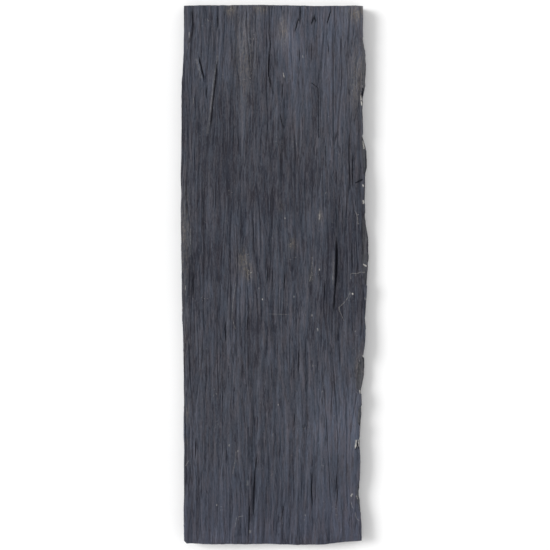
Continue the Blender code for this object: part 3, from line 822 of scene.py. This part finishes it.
# Patterns: size across, along and into the stone, detail, and where the noise is read
SPECKLES = {
    "broad": (0.060, 0.120, 0.020, 3.0, 3.1),
    "band": (0.018, 0.160, 0.010, 2.0, 5.3),
    "streak": (0.0060, 0.052, 0.006, 2.0, 7.7),
    "fibre": (0.0024, 0.015, 0.004, 2.0, 1.9),
    "grit": (0.0030, 0.0075, 0.003, 1.0, 9.1),
    "tint": (0.0080, 0.065, 0.010, 3.0, 11.3),
    "chipped": (0.0070, 0.0090, 0.0020, 2.0, 43.3),
    "layers": (0.40, 0.40, 0.0030, 2.0, 37.1),  # the laminae, seen down a side
    "between_layers": (0.30, 0.30, 0.0060, 1.0, 41.9),
    "specks": (0.0045, 0.0060, 0.004, 0.0, 17.3),
    "speck_places": (0.030, 0.060, 0.020, 2.0, 23.9),
    "vein_breaks": (0.0045, 0.0070, 0.004, 1.0, 29.3),
}
SPECKLE_ROUGHNESS, SPECKLE_GAIN = 0.55, 3.0
# Long thin cells: size across and along, and where the noise is read
SPLINTERS = {"thin_splinter": (0.0036, 0.025, 3.3), "wide_splinter": (0.0075, 0.085, 8.9)}
# Thin lines: size across and along, the share of the noise they take, and where it is read
LINES = {
    "coarse_crease": (0.013, 0.140, 0.13, 2.7),
    "fine_crease": (0.0070, 0.062, 0.22, 6.1),
    "pale_fibre": (0.0095, 0.080, 0.15, 13.7),
}
PATTERN_DEPTH = 0.02  # the size into the stone of the splinters and the lines
LINE_DETAIL = 1.0
OFFSETS = (1.0, 1.7, 0.6)  # what the number for where a noise is read is times along each axis
SHOWN_SIZES, SHOWN_OFFSET = (2.0, 0.8), 31.0  # what thin lines come and go by, set against their own
SWAY_SCALE = (8.0, 4.0, 4.0)
SWAY_DETAIL, SWAY_ROUGHNESS, SWAY = 3.0, 0.35, 0.016  # how far the patterns sway aside, in all

# How light the stone is, and how much each pattern adds to that. The crevice weight is painted shade in the
# hollows and painted light on the ridges; the crease weights are painted shade down the creases between
# fibres
FACE_BASE, SIDE_BASE = 0.835, 0.86
FACE_SHADE = {
    "broad": 0.18, "band": 0.26, "streak": 0.10, "fibre": 0.18, "grit": 0.30,
    "thin_splinter": 0.18, "wide_splinter": 0.14, "dark_splinter": -0.31, "pale_splinter": 0.08,
    "crevice": -0.15, "coarse_crease": -0.38, "fine_crease": -0.26, "pale_fibre": 0.17,
}
SIDE_SHADE = {"layers": 0.26, "chipped": 0.30, "broad": 0.20, "gaps": -0.40}
DARKEST = 0.42
CALM_MAUVE = -1.2  # how much less mauve where the grain is calm
RUST_GRAIN = {"streak": 0.4, "grit": 0.9}
# How much each pattern adds to the height of the bump, and to the roughness
FACE_HEIGHT = {"streak": 0.4, "fibre": 0.6, "grit": 0.15, "coarse_crease": -1.5, "fine_crease": -0.9}
SIDE_HEIGHT = {"chipped": 0.6, "layers": 0.8, "gaps": -1.5}
BUMP_DISTANCE = 0.0006
ROUGHNESS_BASE, ROUGHNESS = 0.66, {"streak": 0.06, "crevice": 0.08}
BARE_SPECULAR, OPEN_SPECULAR = 0.28, 0.02  # on the bare stone, and in a crack
MARK_GRIT = 0.55  # how ragged the edge of a drawn line is
STAIN_SPECKS = 0.5  # how much more often specks are in a stain
SPECK_SHARE, STAIN_SHARE = 0.25, 0.30  # how pale a speck is, and how much more in a stain
# Ramps: the values that each goes between, and its start and end where they aren't 0 and 1
RAMPS = {
    "dark_splinter": (0.12, 0.06),
    "pale_splinter": (0.93, 0.98),
    "gaps": (0.10, 0.0),
    "thin_line": (-0.35, 0.55),
    "mauve": (-0.6, 0.8),
    "rust": (-0.8, 1.0, 0.10, 1.0),
    "scar": (-1.0, 0.8),
    "deep": (0.90, 0.35),
    "mark": (1.45, 0.60),
    "specks": (0.59, 0.82),
    "speck_places": (0.20, 0.90),
    "vein_breaks": (-0.55, 0.45, 0.25, 1.0),
    "specular": (0.2, 1.0, BARE_SPECULAR, OPEN_SPECULAR),
}

material = bpy.data.materials.new("slate")
material.use_nodes = True
tree = material.node_tree
surface = tree.nodes["Principled BSDF"]


def node(kind, inputs, **settings):
    """A new node, with these settings, and with a value or a link for each of these inputs."""
    made = tree.nodes.new(kind)
    for name, value in settings.items():
        setattr(made, name, value)
    for key, value in inputs.items():
        if isinstance(value, bpy.types.NodeSocket):
            tree.links.new(value, made.inputs[key])
        else:
            made.inputs[key].default_value = value
    return made


def calc(operation, a, b=0.0, c=0.0, clamp=False):
    """The result of a Math node."""
    return node("ShaderNodeMath", {0: a, 1: b, 2: c}, operation=operation, use_clamp=clamp).outputs[0]


def shift(operation, a, b, c=(0.0, 0.0, 0.0)):
    """The result of a Vector Math node."""
    return node("ShaderNodeVectorMath", {0: a, 1: b, 2: c}, operation=operation).outputs[0]


def ramp(value, low, high, start=0.0, end=1.0):
    """A smooth rise from start to end as value goes from low to high."""
    inputs = {"Value": value, "From Min": low, "From Max": high, "To Min": start, "To Max": end}
    return node("ShaderNodeMapRange", inputs, interpolation_type="SMOOTHSTEP").outputs["Result"]


def named_ramp(name, value):
    return ramp(value, *RAMPS[name])


def mix(factor, a, b, blend="MIX"):
    """A colour between a and b, or a with b blended over it."""
    return node("ShaderNodeMix", {0: factor, 6: a, 7: b}, data_type="RGBA", blend_type=blend).outputs[2]


def between(factor, a, b):
    """A number between a and b."""
    return node("ShaderNodeMix", {0: factor, 2: a, 3: b}, data_type="FLOAT").outputs[0]


def attribute(name):
    return node("ShaderNodeAttribute", {}, attribute_name=name).outputs["Fac"]


def noise_texture(vector, detail, roughness):
    inputs = {"Vector": vector, "Scale": 1.0, "Detail": detail, "Roughness": roughness}
    return node("ShaderNodeTexNoise", inputs).outputs["Fac"]


def texture_place():
    """Where each texture is read: the place on the stone, a little off straight along the grain."""
    place = node("ShaderNodeTexCoord", {}).outputs["Object"]
    sway = noise_texture(shift("MULTIPLY", place, SWAY_SCALE), SWAY_DETAIL, SWAY_ROUGHNESS)
    aside = node("ShaderNodeCombineXYZ", {"X": calc("MULTIPLY_ADD", sway, SWAY, -SWAY / 2)}).outputs[0]
    return shift("ADD", place, aside)


def scaled(across, along, deep, offset):
    """The place where a texture with features of these sizes in metres is read."""
    offsets = tuple(offset * axis for axis in OFFSETS)
    return shift("MULTIPLY_ADD", where, (1 / across, 1 / along, 1 / deep), offsets)


def speckle(across, along, deep, detail, offset):
    """Noise from about -1 to 1, with features of these sizes in metres."""
    raw = noise_texture(scaled(across, along, deep, offset), detail, SPECKLE_ROUGHNESS)
    return calc("MULTIPLY_ADD", raw, SPECKLE_GAIN, -SPECKLE_GAIN / 2)


def splinters(across, along, offset):
    """A random value from 0 to 1 for each long thin cell of these sizes in metres."""
    inputs = {"Vector": scaled(across, along, PATTERN_DEPTH, offset), "Scale": 1.0}
    cells = node("ShaderNodeTexVoronoi", inputs, feature="F1")
    return node("ShaderNodeSeparateColor", {"Color": cells.outputs["Color"]}).outputs["Red"]


def thin_lines(across, along, share, offset):
    """Thin lines between fibres, from 0 to 1, that come and go along the grain."""
    wide, long = SHOWN_SIZES
    line = speckle(across, along, PATTERN_DEPTH, LINE_DETAIL, offset)
    shown = speckle(across * wide, along * long, PATTERN_DEPTH, LINE_DETAIL, offset + SHOWN_OFFSET)
    return calc("MULTIPLY", ramp(calc("ABSOLUTE", line), share, 0.0), named_ramp("thin_line", shown))


where = texture_place()
patterns = {name: speckle(*sizes) for name, sizes in SPECKLES.items()}
patterns.update({name: splinters(*sizes) for name, sizes in SPLINTERS.items()})
patterns.update({name: thin_lines(*sizes) for name, sizes in LINES.items()})
for name in ("dark_splinter", "pale_splinter"):
    patterns[name] = named_ramp(name, patterns["thin_splinter"])
patterns["gaps"] = named_ramp("gaps", calc("ABSOLUTE", patterns["between_layers"]))
for name in ("crevice", "side", "calm", "hue", "stain", "scar", "tone"):
    patterns[name] = attribute(name)


def added(start, weights):
    """start, plus each pattern times its weight."""
    for name, weight in weights.items():
        start = calc("MULTIPLY_ADD", patterns[name], weight, start)
    return start


def stone_shade():
    """How light the stone is, about 1 where it is bare, with painted shade in hollows, creases and beside
    cracks and painted light on ridges. Down the sides its layers show as bands.
    """
    face = between(patterns["calm"], added(FACE_BASE, FACE_SHADE), CALM_SHADE)
    shade = between(patterns["side"], face, added(SIDE_BASE, SIDE_SHADE))
    return calc("MAXIMUM", calc("ADD", shade, patterns["tone"]), DARKEST)


def stone_colour():
    """The stone with its streaks, hues, rust and grey scars, but no marks."""
    mauve = named_ramp("mauve", patterns["tint"])
    mauve = calc("MULTIPLY_ADD", patterns["calm"], CALM_MAUVE, mauve, clamp=True)
    stone = mix(mauve, BLUE_SLATE, MAUVE_SLATE)
    hue = patterns["hue"]
    stone = mix(calc("MAXIMUM", hue, 0.0), stone, VIOLET_TINT, blend="MULTIPLY")
    stone = mix(calc("MAXIMUM", calc("MULTIPLY", hue, -1.0), 0.0), stone, GREY_TINT, blend="MULTIPLY")
    rust_grain = named_ramp("rust", added(patterns["fibre"], RUST_GRAIN))
    stone = mix(calc("MULTIPLY", patterns["stain"], rust_grain, clamp=True), stone, RUST)
    stone = mix(calc("MULTIPLY", patterns["scar"], named_ramp("scar", patterns["fibre"])), stone, SCAR_GREY)
    shade = stone_shade()
    stone = node("ShaderNodeVectorMath", {0: stone, "Scale": shade}, operation="SCALE").outputs[0]
    return mix(named_ramp("deep", shade), stone, DEEP_TINT, blend="MULTIPLY")


def line_mask(name):
    """Where lines of this name show, times their strength."""
    across = calc("ABSOLUTE", attribute(name + "_across"))
    across = calc("MULTIPLY_ADD", patterns["grit"], MARK_GRIT, across)
    inward = ramp(attribute(name + "_inward"), 0.0, 1.0)
    line = calc("MULTIPLY", named_ramp("mark", across), inward)
    return calc("MULTIPLY", line, attribute(name + "_strength"))


def with_pale_marks(stone):
    """The stone with scattered specks, most of them in the stains, and with the veins and the painted
    highlights on the flake lips.
    """
    stain = patterns["stain"]
    places = calc("MULTIPLY_ADD", stain, STAIN_SPECKS, patterns["speck_places"])
    specks = calc("MULTIPLY", named_ramp("specks", patterns["specks"]), named_ramp("speck_places", places))
    specks = calc("MULTIPLY", specks, calc("MULTIPLY_ADD", stain, STAIN_SHARE, SPECK_SHARE))
    stone = mix(specks, stone, CHALK_AND_HIGHLIGHT)
    breaks = named_ramp("vein_breaks", patterns["vein_breaks"])
    return mix(calc("MULTIPLY", line_mask("vein_and_highlight"), breaks), stone, CHALK_AND_HIGHLIGHT)


def finish_material():
    """Links the stone's colour, gloss and bump to its shader."""
    # Black in the hairline cracks, the crack cores, the notch and along the shaded edge: partly real
    # cracks, partly painted shade
    cracks_and_painted_shade = line_mask("hair_and_shadow")
    stone = mix(cracks_and_painted_shade, with_pale_marks(stone_colour()), SHADOW_BLACK)
    tree.links.new(stone, surface.inputs["Base Color"])
    # The same level as on the bare stone, for programs that read only the socket's own value
    specular = surface.inputs["Specular IOR Level"]
    specular.default_value = BARE_SPECULAR
    tree.links.new(named_ramp("specular", cracks_and_painted_shade), specular)
    tree.links.new(added(ROUGHNESS_BASE, ROUGHNESS), surface.inputs["Roughness"])
    height = between(patterns["side"], added(0.0, FACE_HEIGHT), added(0.0, SIDE_HEIGHT))
    inputs = {"Strength": 1.0, "Distance": BUMP_DISTANCE, "Height": height}
    tree.links.new(node("ShaderNodeBump", inputs).outputs["Normal"], surface.inputs["Normal"])


finish_material()
mesh.materials.append(material)

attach(slab, "root")
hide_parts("slab")

# ---- Studio ----

FLAT_FLOOR, FLOOR_RISE = 25.0, 12.0  # the floor's flat radius, and the radius of the curve past it
FLOOR_RINGS, FLOOR_SPOKES = 12, 64
PAPER_WHITE, PAPER_ROUGHNESS = 0.93, 0.9
SKY_STRENGTH = 0.68
KEY_STRENGTH, KEY_SPREAD = 2.5, math.radians(30)
KEY_FROM = (-1.0, 0.25, 0.75)  # the direction that the key light comes from
LENS, SENSOR = 100.0, 36.0  # in millimetres
FRAME_SIDE = 1.5250  # the side of the square that the camera takes in, at the level of the face


def floor_shape():
    """A round floor that curves up far from the stone, so that no horizon shows."""
    made = bmesh.new()
    bmesh.ops.create_circle(made, cap_ends=True, segments=FLOOR_SPOKES, radius=FLAT_FLOOR)
    rim = list(made.edges)
    for ring in range(FLOOR_RINGS):
        grown = bmesh.ops.extrude_edge_only(made, edges=rim)["geom"]
        rim = [part for part in grown if isinstance(part, bmesh.types.BMEdge)]
        turn = math.pi / 2 * (ring + 1) / FLOOR_RINGS
        radius = FLAT_FLOOR + FLOOR_RISE * math.sin(turn)
        for vert in (part for part in grown if isinstance(part, bmesh.types.BMVert)):
            vert.co.z = FLOOR_RISE * (1 - math.cos(turn))
            vert.co.xy = vert.co.xy.normalized() * radius
    shape = bpy.data.meshes.new("floor")
    made.to_mesh(shape)
    made.free()
    shape.shade_smooth()
    return shape


def lay_floor():
    """A floor of plain pale paper."""
    floor = bpy.data.objects.new("floor", floor_shape())
    bpy.context.scene.collection.objects.link(floor)
    paper = bpy.data.materials.new("paper")
    paper.use_nodes = True
    shader = paper.node_tree.nodes["Principled BSDF"]
    shader.inputs["Base Color"].default_value = (PAPER_WHITE, PAPER_WHITE, PAPER_WHITE, 1.0)
    shader.inputs["Roughness"].default_value = PAPER_ROUGHNESS
    floor.data.materials.append(paper)


def light_studio():
    """An even white sky, and one large soft light from the left."""
    world = bpy.data.worlds.new("studio")
    world.use_nodes = True
    sky = world.node_tree.nodes["Background"]
    sky.inputs["Color"].default_value = (1.0, 1.0, 1.0, 1.0)
    sky.inputs["Strength"].default_value = SKY_STRENGTH
    bpy.context.scene.world = world
    key = bpy.data.lights.new("key", "SUN")
    key.energy = KEY_STRENGTH
    key.angle = KEY_SPREAD
    key_object = bpy.data.objects.new("key", key)
    key_object.rotation_euler = Vector(KEY_FROM).to_track_quat("Z", "Y").to_euler()
    bpy.context.scene.collection.objects.link(key_object)


def place_camera():
    """A camera straight above the middle of the stone."""
    camera = bpy.data.cameras.new("camera")
    camera.lens = LENS
    camera.sensor_width = SENSOR
    view = bpy.data.objects.new("camera", camera)
    view.location = (0.0, 0.0, THICKNESS + FRAME_SIDE * LENS / SENSOR)
    bpy.context.scene.collection.objects.link(view)
    bpy.context.scene.camera = view


lay_floor()
light_studio()
place_camera()
bpy.context.scene.view_settings.view_transform = "Standard"
